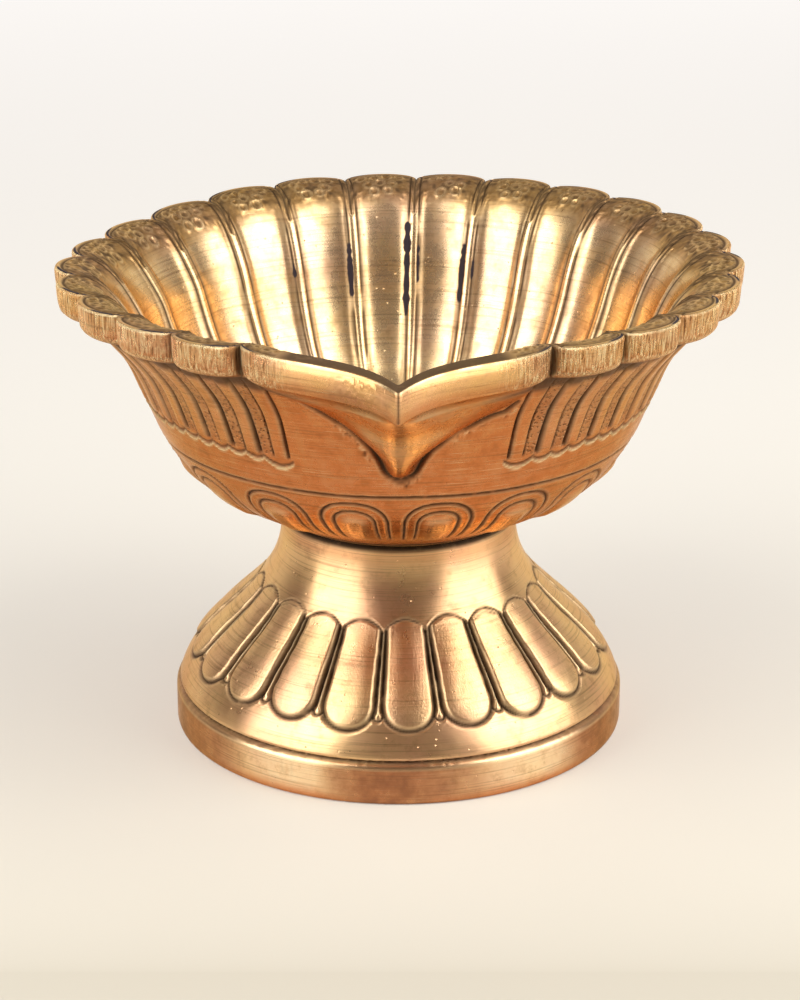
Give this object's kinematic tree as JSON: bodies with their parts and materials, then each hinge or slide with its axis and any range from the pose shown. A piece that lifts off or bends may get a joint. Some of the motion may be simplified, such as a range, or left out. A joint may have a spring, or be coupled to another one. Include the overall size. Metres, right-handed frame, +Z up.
{
  "type": "footed oil lamp",
  "caption": "Footed brass oil lamp: a fluted bowl with a lobed rim and a V spout for the wick, on a flared pedestal carved with petals.",
  "frame": {"origin": "on the floor, at the middle of the lamp's bounding box; the lamp's own axis is 5.7 mm behind it, at y = +0.0057", "axes": "+Z up along the lamp's axis; the spout points to -Y; +X is to the right seen from the spout"},
  "size_m": [0.1176, 0.1293, 0.0847],
  "materials": {
    "cast_brass": "polished casting with dark patina in the carving",
    "turned_brass": "turned and polished, with dark patina in the grooves",
    "fixing_brass": "dull machined brass"
  },
  "bodies": {
    "root": {"pedestal": "turned_brass", "bowl": "cast_brass", "stud": "fixing_brass", "washer": "fixing_brass", "nut": "fixing_brass"}
  },
  "joints": []
}
